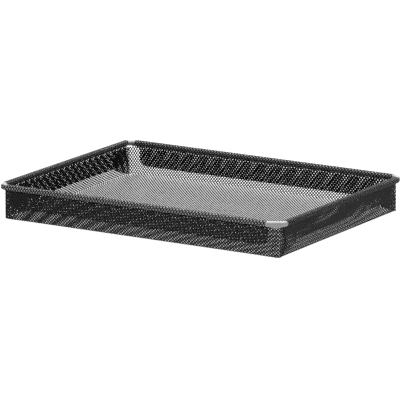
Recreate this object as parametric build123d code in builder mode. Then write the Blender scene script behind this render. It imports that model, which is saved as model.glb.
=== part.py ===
"""Shallow open tray of black coated expanded-steel mesh, hemmed over a bent steel rod rim.

The tray is one mesh blank folded up from its floor. Each wall's top edge curls over the
rim rod and comes down again as a flap that lies against the wall's outer face. The long
walls also carry corner tabs, which turn the corner and lie on the short walls under their
flaps. The rod is one bent ring, left bare at the corners. Here the blank is divided at its
folds and the rod at its bends. The mesh is drawn as plain sheet of the same thickness.

Millimetres. Origin at the centre of the base, +X along the tray, +Y to its back, +Z up.
"""

import os
from math import atan2, degrees, radians, sqrt, tan

from build123d import *

os.makedirs("parts", exist_ok=True)

# Overall size
overall_length = 350.0
overall_width = 262.0
overall_height = 39.5

# Stock
rod_diameter = 6.0
sheet = 0.6  # thickness of the mesh
fit = 0.1  # play between the rod and the mesh curled over it
lap = 0.05  # gap between mesh layers that lie on each other

# Folds
floor_bend = 2.6  # outside radius between the floor and a wall
corner_bend = 3.25  # outside radius of the upright corners
tuck_bend = 1.2  # mid-sheet radius where a hem turns down against its wall

# Rim rod
rim_bend = 9.5  # centreline radius of the three round corners
bar_leg_front = 14.0  # the front right corner is cut across by a straight bar:
bar_leg_right = 8.5  # its legs, measured from where the two sides would meet
bar_bend = 6.0  # centreline radius at each end of that bar
bar_stub = 0.02  # straight length beyond each of those bends

# Hem flaps: height of each lower edge, and the rounding of their lower corners
flap_foot = {"front": 12.5, "left": 12.0, "back": 11.5, "right": 14.5}
flap_rounding = 10.0
back_flap_margin = 15.5  # the back flap starts this far from its left corner
left_flap_margin = 15.0  # and the left flap this far from its front corner
hem_lap = {"front": 50.0, "left": 25.0}  # degrees that a hem follows the rim round its bend
open_laps = ("front",)  # where the lap is only the outer lower quarter of the curl

# Corner tabs
tab_reach = {  # from where the sides would meet to each tab's free end
    "front_left": 47.0,
    "back_left": 37.0,
    "back_right": 37.0,
    "front_right": 37.0,
}
tab_foot_rise = 11.0  # height of the sloping lower edge at the free end
tab_gap = 0.6  # height of the lower edge at the corner
corner_drop = 4.0  # the mesh at the corners stops this far under the rod's centreline
short_wall_gap = 0.2  # clearance of each short wall's ends from the long walls' folds

# Levels and radii that follow
rod_radius = rod_diameter / 2
curl_inside = rod_radius + fit
curl_outside = curl_inside + sheet
curl_middle = curl_inside + sheet / 2
rim_height = overall_height - curl_outside
corner_top = rim_height - corner_drop
half_length = overall_length / 2 - curl_outside  # to the rod's centreline
half_width = overall_width / 2 - curl_outside

# Distances inward from the rod's centreline to the layers of a wall
wall_face = curl_inside  # outer face of the wall itself
wall_middle = curl_middle
floor_edge = wall_face + floor_bend
under_flap_middle = wall_face - lap - sheet / 2  # a flap on a long wall, or a tab
over_tab_middle = under_flap_middle - sheet - lap  # a flap on a short wall
corner_bend_middle = corner_bend - sheet / 2

# Where the rim's straight runs end, from where the sides would meet
bar_turn_front = degrees(atan2(bar_leg_right, bar_leg_front))
bar_turn_right = 90 - bar_turn_front
bar_end_front = bar_leg_front + bar_bend * tan(radians(bar_turn_front / 2)) + bar_stub
bar_end_right = bar_leg_right + bar_bend * tan(radians(bar_turn_right / 2)) + bar_stub

# Each side, going clockwise from the front seen from above: the outward direction, the
# distance to the rod, half the run along it, the bare margins of rod and of mesh at the
# run's start and end, and the inset of its flap. Two flaps have margins of their own.
SIDES = {
    "front": {
        "outward": (0, -1, 0),
        "distance": half_width,
        "half_run": half_length,
        "rod_margins": (bar_end_front, rim_bend),
        "hem_margins": (bar_end_front, rim_bend),
        "wall_margin": floor_edge,
        "flap_middle": under_flap_middle,
    },
    "left": {
        "outward": (-1, 0, 0),
        "distance": half_length,
        "half_run": half_width,
        "rod_margins": (rim_bend, rim_bend),
        "hem_margins": (rim_bend, rim_bend),
        "flap_margins": (left_flap_margin, rim_bend),
        "wall_margin": floor_edge + short_wall_gap,
        "flap_middle": over_tab_middle,
    },
    "back": {
        "outward": (0, 1, 0),
        "distance": half_width,
        "half_run": half_length,
        "rod_margins": (rim_bend, rim_bend),
        "hem_margins": (rim_bend, rim_bend),
        "flap_margins": (back_flap_margin, rim_bend),
        "wall_margin": floor_edge,
        "flap_middle": under_flap_middle,
    },
    "right": {
        "outward": (1, 0, 0),
        "distance": half_length,
        "half_run": half_width,
        "rod_margins": (rim_bend, bar_end_right),
        "hem_margins": (rim_bend, bar_end_right),
        "wall_margin": floor_edge + short_wall_gap,
        "flap_middle": over_tab_middle,
    },
}


def save(part, name):
    """Label a finished piece and write it."""
    part.label = name
    export_step(part, f"parts/{name}.step")


def section_plane(side, start_margin):
    """Plane across a side's run: local x points outward from the rod, local y is up."""
    outward = Vector(*side["outward"])
    along = outward.cross(Vector(0, 0, 1))
    origin = outward * side["distance"] - along * (side["half_run"] - start_margin)
    return Plane(origin=origin, x_dir=outward, z_dir=along)


def elevation_plane(side, inset):
    """Upright plane on the outer face of a layer: local x runs along the side."""
    outward = Vector(*side["outward"])
    along = outward.cross(Vector(0, 0, 1))
    origin = outward * (side["distance"] - inset + sheet / 2)
    return Plane(origin=origin, x_dir=-along, z_dir=outward)


def run_length(side, margins):
    """Length of a run between two margins."""
    return 2 * side["half_run"] - margins[0] - margins[1]


def run_middle(side, margins):
    """Middle of such a run, in an elevation plane's local x."""
    return (margins[1] - margins[0]) / 2


def tuck_geometry(flap_middle):
    """Centre height of the bend that turns a hem down into its flap, and its end angle."""
    reach = curl_middle + tuck_bend
    out = flap_middle - tuck_bend
    drop = sqrt(reach**2 - out**2)
    return out, drop, degrees(atan2(drop, out))


def make_wall(side):
    """Wall with its bend into the floor, standing to the middle of the rim along its hem."""
    margin = side["wall_margin"]
    with BuildPart() as wall:
        with BuildSketch(section_plane(side, margin)):
            with BuildLine():
                Line((-wall_face, corner_top), (-wall_face, floor_bend))
                CenterArc((-floor_edge, floor_bend), floor_bend, 0, -90)
                offset(amount=sheet, side=Side.RIGHT)
            make_face()
        extrude(amount=run_length(side, (margin, margin)))
        margins = side["hem_margins"]
        with BuildSketch(elevation_plane(side, wall_middle)):
            with Locations((run_middle(side, margins), (corner_top + rim_height) / 2)):
                Rectangle(run_length(side, margins), corner_drop)
        extrude(amount=-sheet)
    return wall.part


def make_hem_roll(side, bend_lap=0.0, open_lap=False):
    """Curl of mesh over the rod and its tuck back to the wall, with an optional lap
    that follows the rod round the bend at the end of the run."""
    out, drop, turn = tuck_geometry(side["flap_middle"])
    margins = side["hem_margins"]
    with BuildPart() as roll:
        with BuildSketch(section_plane(side, margins[0])):
            with BuildLine():
                CenterArc((0, rim_height), curl_inside, 180, turn - 360)
                CenterArc(
                    (-out, rim_height - drop), tuck_bend + sheet / 2, turn, 180 - turn
                )
                offset(amount=sheet, side=Side.LEFT)
            make_face()
        extrude(amount=run_length(side, margins))
        if bend_lap:
            end = section_plane(side, 2 * side["half_run"] - margins[1])
            with BuildSketch(end):
                with Locations((0, rim_height)):
                    Circle(curl_outside)
                    Circle(curl_inside, mode=Mode.SUBTRACT)
                    if open_lap:
                        Rectangle(
                            curl_outside,
                            curl_outside,
                            align=(Align.MIN, Align.MAX),
                            mode=Mode.INTERSECT,
                        )
            centre = end.from_local_coords((-rim_bend, 0, 0))
            revolve(axis=Axis(centre, (0, 0, -1)), revolution_arc=bend_lap)
    return roll.part


def make_hem_flap(side, foot):
    """Flap that hangs from the hem against the wall, its lower corners rounded."""
    top = rim_height - tuck_geometry(side["flap_middle"])[1]
    margins = side.get("flap_margins", side["hem_margins"])
    with BuildPart() as flap:
        with BuildSketch(elevation_plane(side, side["flap_middle"])) as outline:
            with Locations((run_middle(side, margins), (top + foot) / 2)):
                Rectangle(run_length(side, margins), top - foot)
            fillet(outline.vertices().sort_by(Axis.Y)[:2], flap_rounding)
        extrude(amount=-sheet)
    return flap.part


def make_rod_run(side):
    """Straight run of the rim rod along one side."""
    margins = side["rod_margins"]
    with BuildPart() as rod:
        with BuildSketch(section_plane(side, margins[0])):
            with Locations((0, rim_height)):
                Circle(rod_radius)
        extrude(amount=run_length(side, margins))
    return rod.part


def make_rod_bend(x_sign, y_sign):
    """Round corner of the rim rod, a quarter turn."""
    centre = (x_sign * (half_length - rim_bend), y_sign * (half_width - rim_bend), 0)
    end = Plane(origin=centre, x_dir=(x_sign, 0, 0), z_dir=(0, -x_sign, 0))
    with BuildPart() as bend:
        with BuildSketch(end):
            with Locations((rim_bend, rim_height)):
                Circle(rod_radius)
        revolve(axis=Axis(centre, (0, 0, x_sign * y_sign)), revolution_arc=90)
    return bend.part


def make_corner_bar():
    """Bare bar that cuts across the front right corner, with a bend at each end."""
    front = -half_width
    right = half_length
    with BuildPart() as bar:
        with BuildLine():
            path = FilletPolyline(
                (right - bar_end_front, front, rim_height),
                (right - bar_leg_front, front, rim_height),
                (right, front + bar_leg_right, rim_height),
                (right, front + bar_end_right, rim_height),
                radius=bar_bend,
            )
        with BuildSketch(Plane(origin=path @ 0, z_dir=path % 0)):
            Circle(rod_radius)
        sweep()
    return bar.part


def make_corner_tab(x_sign, y_sign, reach):
    """Tab of a long wall: it turns the upright corner and lies on the short wall."""
    arc_x = half_length - floor_edge
    arc_y = half_width - wall_middle - corner_bend_middle
    reach_y = half_width - reach
    height = corner_top - tab_gap
    with BuildPart() as tab:
        with BuildSketch(Plane.XY.offset(tab_gap)):
            with Locations((x_sign * arc_x, y_sign * arc_y)):
                Circle(corner_bend)
                Circle(corner_bend - sheet, mode=Mode.SUBTRACT)
            quarter = (x_sign * (arc_x + corner_bend / 2), y_sign * (arc_y + corner_bend / 2))
            with Locations(quarter):
                Rectangle(corner_bend, corner_bend, mode=Mode.INTERSECT)
        extrude(amount=height)
        outer_x = x_sign * (arc_x + corner_bend)
        with BuildSketch(Plane(origin=(outer_x, 0, 0), x_dir=(0, 1, 0), z_dir=(1, 0, 0))):
            with BuildLine():
                Polyline(
                    (y_sign * arc_y, tab_gap),
                    (y_sign * reach_y, tab_foot_rise),
                    (y_sign * reach_y, corner_top),
                    (y_sign * arc_y, corner_top),
                    close=True,
                )
            make_face()
        extrude(amount=-x_sign * sheet)
    return tab.part


# Floor
with BuildPart() as floor:
    with BuildSketch():
        Rectangle(2 * (half_length - floor_edge), 2 * (half_width - floor_edge))
    extrude(amount=sheet)
save(floor.part, "floor_mesh")

# Walls, hems and straight rod runs
for side_name, side in SIDES.items():
    save(make_wall(side), f"{side_name}_wall_mesh")
    hem_roll = make_hem_roll(side, hem_lap.get(side_name, 0.0), side_name in open_laps)
    save(hem_roll, f"{side_name}_hem_roll")
    save(make_hem_flap(side, flap_foot[side_name]), f"{side_name}_hem_flap")
    save(make_rod_run(side), f"rim_rod_{side_name}")

# Corners
CORNERS = {
    "front_left": (-1, -1),
    "back_left": (-1, 1),
    "back_right": (1, 1),
    "front_right": (1, -1),
}
for corner_name, signs in CORNERS.items():
    save(make_corner_tab(*signs, tab_reach[corner_name]), f"corner_tab_{corner_name}")
    if corner_name != "front_right":
        save(make_rod_bend(*signs), f"rim_bend_{corner_name}")
save(make_corner_bar(), "rim_corner_bar_front_right")
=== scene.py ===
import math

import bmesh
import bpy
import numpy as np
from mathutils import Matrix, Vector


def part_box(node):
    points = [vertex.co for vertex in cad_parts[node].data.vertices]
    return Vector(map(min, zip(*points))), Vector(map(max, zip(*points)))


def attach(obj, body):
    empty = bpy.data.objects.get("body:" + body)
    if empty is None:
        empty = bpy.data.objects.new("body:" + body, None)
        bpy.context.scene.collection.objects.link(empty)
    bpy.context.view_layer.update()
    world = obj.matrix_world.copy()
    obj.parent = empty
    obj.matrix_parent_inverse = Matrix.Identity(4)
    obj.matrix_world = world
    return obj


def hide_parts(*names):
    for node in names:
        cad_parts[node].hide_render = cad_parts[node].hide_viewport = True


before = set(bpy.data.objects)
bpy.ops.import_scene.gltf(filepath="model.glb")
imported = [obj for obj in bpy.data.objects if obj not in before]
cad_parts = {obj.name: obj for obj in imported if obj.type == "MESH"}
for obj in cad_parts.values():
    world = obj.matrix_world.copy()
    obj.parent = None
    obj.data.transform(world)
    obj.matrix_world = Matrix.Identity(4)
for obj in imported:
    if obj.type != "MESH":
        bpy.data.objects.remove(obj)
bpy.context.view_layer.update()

# Looks of the mesh tray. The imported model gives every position. The expanded mesh is cut from
# one flat blank of real strands, which is folded up into the floor, walls, hems and corner
# tabs, so that the strands run on across the folds. Only in the left side one of the two
# strand families has a direction of its own. The tray's lengths are in millimetres until
# make_piece turns them into metres. The stage, lights and camera are in metres.

MM = 0.001

# Strand pattern: how many strands of each family are crossed per millimetre along X and Y
FAMILY_A = (0.2575, 0.278)
FAMILY_B = (0.311, -0.285)
LEFT_FAMILY_B = (0.338, -0.19)  # the same family in the left side, where it leans over more
UNEVEN_DRAW = 0.000185  # per mm: the blank was drawn out more towards its right end
# It was also drawn out along Y towards its edges: which way, where that sets in, over what
# span, and by what share
EDGE_DRAWS = ((1, 70.0, 35.0, 0.13), (1, 145.0, 6.0, 0.15), (-1, 157.0, 4.0, 0.4))
STRAND_WIDTH = 1.22
FLAP_STRAND_WIDTH = 1.6  # the flaps were pressed flatter
STRAND_THICKNESS = 0.2
STRAND_FLAT = 0.62  # share of a strand's width that is flat on top
STRAND_SCATTER = 0.05  # unevenness of the knuckles' places, in mm
WIDTH_SCATTER = 0.06  # unevenness of the strands' width, as a share
KNUCKLE_TILT = 0.32  # slope of the knuckles along X, which leaves the mesh slightly raised
CORNER_SIGNS = ((1, 1), (-1, 1), (-1, -1), (1, -1))
LEVELS = (1, 0, -1)  # top, rounded edge and underside of a strand
KNUCKLE_POINTS = len(CORNER_SIGNS) * len(LEVELS)
BLANK_REACH = 300  # in mm: the blank lies well within this of its centre each way
OPEN_END = 100.0  # length of a fold's last straight stretch, more than any piece needs

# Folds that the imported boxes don't give, in mm
TUCK_BEND = 1.2
FLAP_ROUNDING = 10.0
ROUNDING_STEPS = 6
CORNER_BEND = 3.25
TAB_FOOT_RISE = 11.0
RIM_BEND = 9.5
HEM_LAP = {"front": (-1, 50.0), "left": (1, 25.0)}  # which end, and degrees round its bend
OPEN_LAPS = ("front",)  # where the lap is only a strip of the curl
OPEN_LAP_TURNS = (0.72, 1.5)  # where that strip starts and ends, in half turns from the wall
BACK_LEFT_SHOULDER = 3.7  # the back wall's left end reaches higher than the other corners

# As-built shape: the sheet's floor folds stand a little off the table between the corners
FOLD_LIFT = {"front": 0.2, "back": 3.0, "left": 0.0, "right": 0.1}
LIFT_START = 28.0  # from the corner, in mm
LIFT_REACH = 95.0  # how far it runs into the floor

# Camera, fitted to the photograph: angles in degrees, distance in metres
CAMERA_AZIMUTH = 31.4
CAMERA_ELEVATION = 13.2
CAMERA_DISTANCE = 4.783
FOCAL_PIXELS = 4500.0
FRAME_PIXELS = 400.0
BASE_RIGHT_OF_CENTRE = 1.4  # where the base's centre falls in the frame, in pixels
BASE_BELOW_CENTRE = 15.1

STAGE_REACH = 8.0  # from the tray to the floor's edges, in metres


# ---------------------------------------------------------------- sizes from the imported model


def box_mm(node):
    """Lowest and highest corner of a node, in millimetres."""
    low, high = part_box(node)
    return np.array(low) / MM, np.array(high) / MM


rod_low, rod_high = box_mm("rim_rod_front")
floor_low, floor_high = box_mm("floor_mesh")
wall_low = box_mm("front_wall_mesh")[0]
tab_low, tab_high = box_mm("corner_tab_back_right")

rim_height = (rod_high[2] + rod_low[2]) / 2
half_width = -(rod_high[1] + rod_low[1]) / 2
half_length = sum(box[0] for box in box_mm("rim_rod_right")) / 2
sheet = floor_high[2]
wall_middle = half_width + wall_low[1] + sheet / 2  # inward from the rod's centreline
floor_edge = half_width - floor_high[1]
floor_bend = floor_edge - wall_middle  # at mid-sheet
curl_middle = wall_middle  # radius of the curl, which runs on from the wall
corner_top = tab_high[2]
tab_gap = tab_low[2]


def make_side(name, outward, along, distance):
    """What the fold and the strands of one side need."""
    flap_low, flap_high = box_mm(f"{name}_hem_flap")
    roll_low, roll_high = box_mm(f"{name}_hem_roll")
    straight_low, straight_high = box_mm(f"rim_rod_{name}")
    outward = np.array(outward, float)
    along = np.array(along, float)
    axis = int(along[1])
    across = 1 - axis
    flap_middle = distance - abs(flap_low[across] + flap_high[across]) / 2
    out = flap_middle - TUCK_BEND
    drop = math.sqrt((curl_middle + TUCK_BEND) ** 2 - out**2)
    turn = math.atan2(drop, out)
    curl = (2 * math.pi - turn) * curl_middle
    tuck = (math.pi - turn) * TUCK_BEND
    fold = math.pi / 2 * floor_bend
    wall = rim_height - floor_edge + wall_middle - sheet / 2
    return {
        "name": name,
        "outward": outward,
        "along": along,
        "distance": distance,
        "run": (
            max(roll_low[axis], straight_low[axis]),
            min(roll_high[axis], straight_high[axis]),
        ),
        "flap_run": (flap_low[axis], flap_high[axis]),
        "wall_end": box_mm(f"{name}_wall_mesh")[1][axis],
        # (length, turn) of each stretch of the folded section, from the floor upwards
        "section": (
            (fold, math.pi / 2),
            (wall, 0.0),
            (curl, turn - 2 * math.pi),
            (tuck, math.pi - turn),
            (OPEN_END, 0.0),
        ),
        "wall_top": fold + wall,
        "curl_end": fold + wall + curl,
        "tuck_end": fold + wall + curl + tuck,
        "flap_end": fold + wall + curl + tuck + rim_height - drop - flap_low[2],
        "corner_top": fold + corner_top - (rim_height - wall),
    }


SIDES = {
    "front": make_side("front", (0, -1), (1, 0), half_width),
    "back": make_side("back", (0, 1), (1, 0), half_width),
    "left": make_side("left", (-1, 0), (0, 1), half_length),
    "right": make_side("right", (1, 0), (0, 1), half_length),
}


# ---------------------------------------------------------------- the flat blank of strands


def scatter(i, j, seed):
    """A fixed value from -1 to 1 for each knuckle, the same wherever it is asked for."""
    value = np.sin(i * 12.9898 + j * 78.233 + seed * 37.719) * 43758.5453
    return 2 * (value - np.floor(value)) - 1


def undrawn(x, y):
    """Where a place on the blank was before it was drawn out unevenly."""
    before_y = y
    for sign, start, span, share in EDGE_DRAWS:
        past = sign * y - start
        before_y = before_y - sign * share / 2 * (past + span * np.log(2 * np.cosh(past / span)))
    return x - UNEVEN_DRAW * x * x, before_y


def knuckle_places(i, j, families):
    """Places on the blank, in mm, where strand i of one family crosses strand j of the other."""
    inverse = np.linalg.inv(np.array(families))
    before_x = inverse[0, 0] * i + inverse[0, 1] * j
    before_y = inverse[1, 0] * i + inverse[1, 1] * j
    steps = np.linspace(-BLANK_REACH, BLANK_REACH, 2 * BLANK_REACH + 1)
    scale_x, scale_y = undrawn(steps, steps)
    x = np.interp(before_x, scale_x, steps)
    y = np.interp(before_y, scale_y, steps)
    x = x + STRAND_SCATTER * scatter(i, j, 1)
    y = y + STRAND_SCATTER * scatter(i, j, 2)
    return np.stack([x, y], axis=-1)


def unit(vectors):
    """The same directions, each of length 1."""
    return vectors / np.linalg.norm(vectors, axis=-1, keepdims=True)


def strands_over(low, high, families=(FAMILY_A, FAMILY_B), width=STRAND_WIDTH):
    """Strands that cover a rectangle of the blank: (points, faces of four points each)."""
    ends = np.array([undrawn(x, y) for x in (low[0], high[0]) for y in (low[1], high[1])])
    phases = ends @ np.array(families).T
    first = np.floor(phases.min(axis=0)) - 1
    last = np.ceil(phases.max(axis=0)) + 2
    i, j = np.meshgrid(
        np.arange(first[0], last[0]), np.arange(first[1], last[1]), indexing="ij"
    )
    place = knuckle_places(i, j, families)
    ahead_a = unit(knuckle_places(i + 1, j, families) - knuckle_places(i - 1, j, families))
    ahead_b = unit(knuckle_places(i, j + 1, families) - knuckle_places(i, j - 1, families))
    half = width / 2 * (1 + WIDTH_SCATTER * scatter(i, j, 3))[..., None]

    points = np.empty(i.shape + (len(CORNER_SIGNS), len(LEVELS), 3))
    for corner, (sign_a, sign_b) in enumerate(CORNER_SIGNS):
        for rank, level in enumerate(LEVELS):
            reach = half * (STRAND_FLAT if level else 1.0)
            offset = (sign_a * ahead_a + sign_b * ahead_b) * reach
            points[..., corner, rank, :2] = place + offset
            lift = level * STRAND_THICKNESS / 2 - KNUCKLE_TILT * offset[..., 0]
            points[..., corner, rank, 2] = lift

    margin = 2.5 / max(FAMILY_A[0], FAMILY_B[0])  # two and a half strands past the edges
    near = ((place > np.array(low) - margin) & (place < np.array(high) + margin)).all(-1)
    number = np.arange(near.size).reshape(near.shape) * KNUCKLE_POINTS

    def ring(*marks):
        """Vertex numbers of faces whose corners are (start knuckle, corner, rank)."""
        return np.stack([start + corner * len(LEVELS) + rank for start, corner, rank in marks], -1)

    def bars(start, end, left, right):
        """Six faces of each strand: its two ends' corners are given for both edges."""
        (start_left, end_left), (start_right, end_right) = left, right
        faces = []
        for rank in (0, 2):
            faces.append(
                ring(
                    (start, start_left, rank),
                    (end, end_left, rank),
                    (end, end_right, rank),
                    (start, start_right, rank),
                )
            )
        for rank in (0, 1):
            for from_corner, to_corner in (left, right):
                faces.append(
                    ring(
                        (start, from_corner, rank),
                        (end, to_corner, rank),
                        (end, to_corner, rank + 1),
                        (start, from_corner, rank + 1),
                    )
                )
        return faces

    knuckle = number[near]
    along_a = near[:-1] & near[1:]
    along_b = near[:, :-1] & near[:, 1:]
    faces = [ring(*[(knuckle, corner, rank) for corner in range(4)]) for rank in (0, 2)]
    faces += bars(number[:-1][along_a], number[1:][along_a], (0, 1), (3, 2))
    faces += bars(number[:, :-1][along_b], number[:, 1:][along_b], (0, 3), (1, 2))
    return points.reshape(-1, 3), np.concatenate(faces)


def blank_to_side(side, points):
    """Blank coordinates to (along the side, developed length from its floor fold, lift)."""
    along = points[:, :2] @ side["along"]
    developed = points[:, :2] @ side["outward"] - (side["distance"] - floor_edge)
    return np.stack([along, developed, points[:, 2]], axis=-1)


def side_to_blank(side, along, developed):
    """The blank's point for a place on a side."""
    reach = side["distance"] - floor_edge + developed
    return side["outward"] * reach + side["along"] * along


def inside(outline, places):
    """True for each place that lies inside a closed outline."""
    result = np.zeros(len(places), bool)
    x, y = places[:, 0], places[:, 1]
    for (x0, y0), (x1, y1) in zip(outline, outline[1:] + outline[:1]):
        if y0 == y1:
            continue
        crosses = (y0 > y) != (y1 > y)
        result ^= crosses & (x < x0 + (y - y0) * (x1 - x0) / (y1 - y0))
    return result


def cut_out(points, faces, outline):
    """The strands inside an outline as a bmesh, cut off square at its edge and closed."""
    mesh = bpy.data.meshes.new("blank")
    used, faces = np.unique(faces, return_inverse=True)
    mesh.from_pydata(points[used], [], faces.reshape(-1, 4))
    bm = bmesh.new()
    bm.from_mesh(mesh)
    bpy.data.meshes.remove(mesh)
    reach = 4.0  # only faces this near to an edge of the outline are cut, in mm
    for start, end in zip(outline, outline[1:] + outline[:1]):
        low = np.minimum(start, end) - reach
        high = np.maximum(start, end) + reach
        near = [
            face
            for face in bm.faces
            if low[0] < face.verts[0].co.x < high[0] and low[1] < face.verts[0].co.y < high[1]
        ]
        geometry = set(near)
        for face in near:
            geometry.update(face.edges)
            geometry.update(face.verts)
        bmesh.ops.bisect_plane(
            bm,
            geom=list(geometry),
            dist=1e-5,
            plane_co=(start[0], start[1], 0),
            plane_no=(end[1] - start[1], start[0] - end[0], 0),
        )
    centres = np.array([face.calc_center_median()[:2] for face in bm.faces])
    waste = [face for face, kept in zip(bm.faces, inside(outline, centres)) if not kept]
    bmesh.ops.delete(bm, geom=waste, context="FACES")
    rims = [edge for edge in bm.edges if edge.is_boundary]
    bmesh.ops.holes_fill(bm, edges=rims, sides=0)
    return bm


# ---------------------------------------------------------------- folding it up


def bent(stretches, start, heading, length, shift):
    """A path of straight and turning stretches, followed for each length, with each point
    shifted to the path's right. Returns its two coordinates."""
    first = np.empty_like(length)
    second = np.empty_like(length)
    begin = 0.0
    x, y = start
    for number, (span, turn) in enumerate(stretches):
        here = length >= begin if number else np.ones_like(length, bool)
        travel = length[here] - begin
        if turn:
            radius = span / turn
            angle = heading + travel / radius
            px = x + radius * (np.sin(angle) - math.sin(heading))
            py = y - radius * (np.cos(angle) - math.cos(heading))
            x += radius * (math.sin(heading + turn) - math.sin(heading))
            y -= radius * (math.cos(heading + turn) - math.cos(heading))
        else:
            angle = np.full_like(travel, heading)
            px = x + travel * math.cos(heading)
            py = y + travel * math.sin(heading)
            x += span * math.cos(heading)
            y += span * math.sin(heading)
        first[here] = px + shift[here] * np.sin(angle)
        second[here] = py - shift[here] * np.cos(angle)
        heading += turn
        begin += span
    return first, second


def fold_side(side, points, lapping=False):
    """Folds (along, developed, lift) up into the tray's own X, Y and Z. With lapping, what
    runs past the end of a side's straight rim goes on round the rim's bend."""
    along, developed, lift = points.T
    start = (-floor_edge, sheet / 2)
    out, up = bent(side["section"], start, 0.0, developed, lift)
    if lapping and side["name"] in HEM_LAP:
        sign = HEM_LAP[side["name"]][0]
        end = sign * side["run"][sign > 0]
        angle = np.maximum(sign * along - end, 0) / RIM_BEND
        radius = RIM_BEND + out
        along = sign * (np.minimum(sign * along, end) + radius * np.sin(angle))
        out = np.where(angle > 0, radius * np.cos(angle) - RIM_BEND, out)
    plan = np.outer(side["distance"] + out, side["outward"]) + np.outer(along, side["along"])
    return np.column_stack([plan, up])


def fold_tab(side, points, end):
    """Folds a long side's tab round its upright corner on to the short side."""
    along, developed, lift = points.T
    corner = CORNER_BEND - sheet / 2
    _, up = bent(side["section"], (-floor_edge, sheet / 2), 0.0, developed, np.zeros_like(lift))
    stretches = ((math.pi / 2 * corner, math.pi / 2), (OPEN_END, 0.0))
    start = (half_length - floor_edge, 0.0)
    reach, inward = bent(stretches, start, 0.0, end * along - start[0], lift)
    distance = side["distance"] - wall_middle - inward
    return np.column_stack([end * reach, side["outward"][1] * distance, up])


def fold_floor(points):
    """The floor isn't folded. Its mesh lies at mid-sheet, with its lift pointing down, which
    is outwards as in the sides."""
    flat = points.copy()
    flat[:, 2] = sheet / 2 - points[:, 2]
    return lifted(flat)


def smooth(share):
    """A share from 0 to 1, eased at both ends."""
    share = np.clip(share, 0, 1)
    return share * share * (3 - 2 * share)


def lifted(points):
    """The folded sheet with its floor folds standing slightly off the table."""
    points = points.copy()
    height = np.clip(1 - points[:, 2] / rim_height, 0, 1)
    for side in SIDES.values():
        along = np.abs(points[:, :2] @ side["along"])
        half_run = half_length + half_width - side["distance"]
        into_floor = side["distance"] - floor_edge - points[:, :2] @ side["outward"]
        reach = np.clip(1 - into_floor / LIFT_REACH, 0, 1) ** 2
        rise = smooth((half_run - floor_edge - along) / LIFT_START)
        points[:, 2] += FOLD_LIFT[side["name"]] * rise * reach * height
    return points


def make_piece(name, bm, place, nodes, material):
    """A finished piece that stands for CAD nodes, from a flat bmesh and the function that
    puts its points in place."""
    bm.verts.ensure_lookup_table()
    flat = np.array([vert.co for vert in bm.verts])
    for vert, co in zip(bm.verts, place(flat) * MM):
        vert.co = co
    bmesh.ops.recalc_face_normals(bm, faces=bm.faces)
    mesh = bpy.data.meshes.new(name)
    bm.to_mesh(mesh)
    bm.free()
    mesh.shade_smooth()
    mesh.materials.append(material)
    piece = bpy.data.objects.new(name, mesh)
    bpy.context.scene.collection.objects.link(piece)
    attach(piece, "root")
    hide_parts(*nodes)
    return piece


# ---------------------------------------------------------------- materials


def new_material(name):
    """A material with its nodes, its links and its main shader."""
    material = bpy.data.materials.new(name)
    material.use_nodes = True
    nodes = material.node_tree.nodes
    links = material.node_tree.links
    return material, nodes, links, nodes["Principled BSDF"]


def noise(nodes, links, scale, detail, stretch=(1, 1, 1)):
    """Noise over the object's own coordinates, in features per metre."""
    coordinates = nodes.new("ShaderNodeTexCoord")
    mapping = nodes.new("ShaderNodeMapping")
    mapping.inputs["Scale"].default_value = stretch
    texture = nodes.new("ShaderNodeTexNoise")
    texture.inputs["Scale"].default_value = scale
    texture.inputs["Detail"].default_value = detail
    links.new(coordinates.outputs["Object"], mapping.inputs["Vector"])
    links.new(mapping.outputs["Vector"], texture.inputs["Vector"])
    return texture.outputs["Fac"]


def ramp(nodes, links, factor, stops):
    """Colour ramp over a factor: stops are (position, colour)."""
    node = nodes.new("ShaderNodeValToRGB")
    elements = node.color_ramp.elements
    elements[0].position, elements[0].color = stops[0]
    elements[1].position, elements[1].color = stops[-1]
    for position, colour in stops[1:-1]:
        elements.new(position).color = colour
    links.new(factor, node.inputs["Fac"])
    return node.outputs["Color"]


def spread(nodes, links, factor, low, high):
    """A factor stretched to run from low to high."""
    node = nodes.new("ShaderNodeMapRange")
    node.inputs["To Min"].default_value = low
    node.inputs["To Max"].default_value = high
    links.new(factor, node.inputs["Value"])
    return node.outputs["Result"]


def bump(nodes, links, height, distance, strength):
    """A normal raised by a height factor, over a distance in metres."""
    node = nodes.new("ShaderNodeBump")
    node.inputs["Distance"].default_value = distance
    node.inputs["Strength"].default_value = strength
    links.new(height, node.inputs["Height"])
    return node.outputs["Normal"]


def coated_mesh_material():
    """Black semi-gloss coat: faint mottling, orange peel, and dust in broad patches."""
    material, nodes, links, shader = new_material("black_coat")
    mottle = noise(nodes, links, 900, 3)
    patches = noise(nodes, links, 24, 4)
    colour = ramp(
        nodes,
        links,
        mottle,
        ((0.3, (0.005, 0.005, 0.005, 1)), (0.7, (0.013, 0.013, 0.014, 1))),
    )
    links.new(colour, shader.inputs["Base Color"])
    links.new(spread(nodes, links, patches, 0.26, 0.46), shader.inputs["Roughness"])
    links.new(bump(nodes, links, mottle, 0.00004, 0.4), shader.inputs["Normal"])
    shader.inputs["IOR"].default_value = 1.47
    return material


def bare_steel_material():
    """Satin drawn rod: fine scratches, which also vary its roughness, and uneven brightness."""
    material, nodes, links, shader = new_material("bare_steel")
    scratches = noise(nodes, links, 2500, 2)
    patches = noise(nodes, links, 180, 3)
    colour = ramp(
        nodes,
        links,
        patches,
        ((0.25, (0.76, 0.76, 0.75, 1)), (0.75, (0.88, 0.88, 0.87, 1))),
    )
    links.new(colour, shader.inputs["Base Color"])
    shader.inputs["Metallic"].default_value = 1.0
    links.new(spread(nodes, links, scratches, 0.5, 0.75), shader.inputs["Roughness"])
    links.new(bump(nodes, links, scratches, 0.00003, 0.25), shader.inputs["Normal"])
    return material


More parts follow.
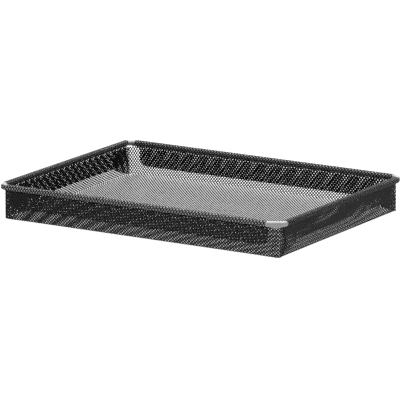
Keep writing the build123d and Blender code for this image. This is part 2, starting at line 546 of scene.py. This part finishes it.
def pale_floor_material():
    """Matt pale floor with a faint mottle. It glows, so that it looks white to the camera all
    over, and more weakly to everything else, so that it gives the tray only soft light."""
    material, nodes, links, shader = new_material("pale_floor")
    mottle = noise(nodes, links, 6, 3)
    colour = ramp(
        nodes,
        links,
        mottle,
        ((0.2, (0.20, 0.20, 0.20, 1)), (0.8, (0.24, 0.24, 0.24, 1))),
    )
    links.new(colour, shader.inputs["Base Color"])
    shader.inputs["Roughness"].default_value = 0.9
    shader.inputs["Emission Color"].default_value = (1, 1, 1, 1)
    path = nodes.new("ShaderNodeLightPath")
    glow = spread(nodes, links, path.outputs["Is Camera Ray"], 0.3, 0.95)
    links.new(glow, shader.inputs["Emission Strength"])
    return material


black_coat = coated_mesh_material()
bare_steel = bare_steel_material()


# ---------------------------------------------------------------- mesh pieces


def side_strands(side, outline, width=STRAND_WIDTH):
    """Strands of one side inside an outline of (along, developed) points."""
    low = np.min(outline, axis=0)
    high = np.max(outline, axis=0)
    corners = np.array(
        [side_to_blank(side, a, d) for a in (low[0], high[0]) for d in (low[1], high[1])]
    )
    families = (FAMILY_A, LEFT_FAMILY_B if side["name"] == "left" else FAMILY_B)
    points, faces = strands_over(corners.min(axis=0), corners.max(axis=0), families, width)
    return cut_out(blank_to_side(side, points), faces, outline)


def make_wall(side):
    """Wall from its floor fold to the rim, lower beyond the ends of its hem."""
    low, high = side["run"]
    end = side["wall_end"]
    shoulder, top = side["corner_top"], side["wall_top"]
    left_shoulder = shoulder + BACK_LEFT_SHOULDER * (side["name"] == "back")
    name = side["name"]
    outline = [
        (-end, 0.0),
        (end, 0.0),
        (end, shoulder),
        (high, shoulder),
        (high, top),
        (low, top),
        (low, left_shoulder),
        (-end, left_shoulder),
    ]
    make_piece(
        f"{name}_wall_strands",
        side_strands(side, outline),
        lambda points: lifted(fold_side(side, points)),
        [f"{name}_wall_mesh"],
        black_coat,
    )


def make_roll(side):
    """Hem from the wall over the rod and back to the wall. Two of them lap a rim bend."""
    low, high = side["run"]
    name = side["name"]
    top, curl_end, tuck_end = side["wall_top"], side["curl_end"], side["tuck_end"]
    outline = [(low, top), (high, top), (high, tuck_end), (low, tuck_end)]
    if name in HEM_LAP:
        sign, degrees = HEM_LAP[name]
        end, other = (high, low) if sign > 0 else (low, high)
        past = end + sign * math.radians(degrees) * RIM_BEND
        lap = [(past, top), (past, curl_end), (end, curl_end)]
        if name in OPEN_LAPS:
            outer = top + OPEN_LAP_TURNS[0] * math.pi * curl_middle
            bottom = top + OPEN_LAP_TURNS[1] * math.pi * curl_middle
            lap = [(end, top), (end, outer), (past, outer), (past, bottom), (end, bottom)]
        outline = [(other, top)] + lap + [(end, tuck_end), (other, tuck_end)]
    make_piece(
        f"{name}_hem_roll_strands",
        side_strands(side, outline),
        lambda points: fold_side(side, points, lapping=True),
        [f"{name}_hem_roll"],
        black_coat,
    )


def make_flap(side):
    """Flap on the wall's outer face, its lower corners rounded."""
    low, high = side["flap_run"]
    top, foot = side["tuck_end"], side["flap_end"]
    outline = [(low, top), (high, top)]
    for centre, first in ((high - FLAP_ROUNDING, 0.0), (low + FLAP_ROUNDING, math.pi / 2)):
        for step in range(ROUNDING_STEPS + 1):
            angle = first + step * math.pi / 2 / ROUNDING_STEPS
            x = centre + FLAP_ROUNDING * math.cos(angle)
            y = foot - FLAP_ROUNDING + FLAP_ROUNDING * math.sin(angle)
            outline.append((x, y))
    name = side["name"]
    make_piece(
        f"{name}_hem_flap_strands",
        side_strands(side, outline, FLAP_STRAND_WIDTH),
        lambda points: fold_side(side, points),
        [f"{name}_hem_flap"],
        black_coat,
    )


def make_tab(side, end):
    """Tab at one end of a long side; its lower edge rises towards its free end."""
    corner = CORNER_BEND - sheet / 2
    arc = math.pi / 2 * corner
    begin = side["wall_end"]
    bend_end = begin + arc
    tab_box = box_mm(f"corner_tab_{side['name']}_{'right' if end > 0 else 'left'}")
    free_end = np.abs(np.array(tab_box)[:, 1]).min()
    tip = bend_end + half_width - wall_middle - corner - free_end
    developed_floor = side["corner_top"] - corner_top  # developed length where up would be 0
    low_corner = developed_floor + tab_gap
    low_tip = developed_floor + TAB_FOOT_RISE
    top = side["corner_top"]
    outline = [
        (end * begin, max(low_corner, 0.0)),
        (end * bend_end, max(low_corner, 0.0)),
        (end * tip, low_tip),
        (end * tip, top),
        (end * begin, top),
    ]
    name = f"{side['name']}_{'right' if end > 0 else 'left'}"
    make_piece(
        f"corner_tab_{name}_strands",
        side_strands(side, outline),
        lambda points: lifted(fold_tab(side, points, end)),
        [f"corner_tab_{name}"],
        black_coat,
    )


def make_floor(name, low_y, high_y):
    """One half of the floor, between two places along Y."""
    low = (floor_low[0], low_y)
    high = (floor_high[0], high_y)
    points, faces = strands_over(low, high)
    outline = [low, (high[0], low[1]), high, (low[0], high[1])]
    make_piece(
        name,
        cut_out(points, faces, outline),
        fold_floor,
        ["floor_mesh"],
        black_coat,
    )


make_floor("floor_strands_front", floor_low[1], 0.0)
make_floor("floor_strands_back", 0.0, floor_high[1])
for side in SIDES.values():
    make_wall(side)
    make_roll(side)
    make_flap(side)
for side_name in ("front", "back"):
    for end in (-1, 1):
        make_tab(SIDES[side_name], end)

for name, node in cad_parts.items():
    if name.startswith("rim_"):
        node.data.materials.clear()
        node.data.materials.append(bare_steel)
        node.data.shade_smooth()


# ---------------------------------------------------------------- stage, light and camera

floor_mesh = bpy.data.meshes.new("pale_floor")
floor_corners = [
    (-STAGE_REACH, -STAGE_REACH, 0),
    (STAGE_REACH, -STAGE_REACH, 0),
    (STAGE_REACH, STAGE_REACH, 0),
    (-STAGE_REACH, STAGE_REACH, 0),
]
floor_mesh.from_pydata(floor_corners, [], [(0, 1, 2, 3)])
floor_mesh.materials.append(pale_floor_material())
floor = bpy.data.objects.new("pale_floor", floor_mesh)
bpy.context.scene.collection.objects.link(floor)


def area_light(name, place, aim, size, power):
    """A rectangular softbox at a place, turned towards its aim; power in watts."""
    data = bpy.data.lights.new(name, "AREA")
    data.shape = "RECTANGLE"
    data.size, data.size_y = size
    data.energy = power
    light = bpy.data.objects.new(name, data)
    bpy.context.scene.collection.objects.link(light)
    light.location = place
    light.rotation_mode = "QUATERNION"
    light.rotation_quaternion = (Vector(aim) - Vector(place)).to_track_quat("-Z", "Y")


area_light("top_softbox", place=(0, 0.6, 2.4), aim=(0, 0, 0), size=(3.0, 2.0), power=34)
area_light("back_softbox", place=(-1.8, 3.0, 1.3), aim=(0, 0, 0.3), size=(6.0, 2.6), power=58)

world = bpy.data.worlds.new("soft_studio")
world.use_nodes = True
background = world.node_tree.nodes["Background"]
background.inputs["Color"].default_value = (1, 1, 1, 1)
background.inputs["Strength"].default_value = 0.25
scene = bpy.context.scene
scene.world = world
scene.view_settings.view_transform = "Standard"
scene.cycles.use_denoising = False  # it would smear the fine strands
scene.cycles.filter_width = 1.35  # a little sharper than usual, as the photograph is

azimuth = math.radians(CAMERA_AZIMUTH)
elevation = math.radians(CAMERA_ELEVATION)
back = Vector(
    (
        math.sin(azimuth) * math.cos(elevation),
        -math.cos(azimuth) * math.cos(elevation),
        math.sin(elevation),
    )
)
right = Vector((math.cos(azimuth), math.sin(azimuth), 0))
up = back.cross(right)
pixel = CAMERA_DISTANCE / FOCAL_PIXELS
camera_data = bpy.data.cameras.new("camera")
camera_data.sensor_width = 36.0
camera_data.lens = camera_data.sensor_width * FOCAL_PIXELS / FRAME_PIXELS
camera_data.clip_end = 50
camera = bpy.data.objects.new("camera", camera_data)
camera.location = (
    back * CAMERA_DISTANCE
    - right * (BASE_RIGHT_OF_CENTRE * pixel)
    + up * (BASE_BELOW_CENTRE * pixel)
)
camera.rotation_mode = "QUATERNION"
camera.rotation_quaternion = (-back).to_track_quat("-Z", "Y")
scene.collection.objects.link(camera)
scene.camera = camera
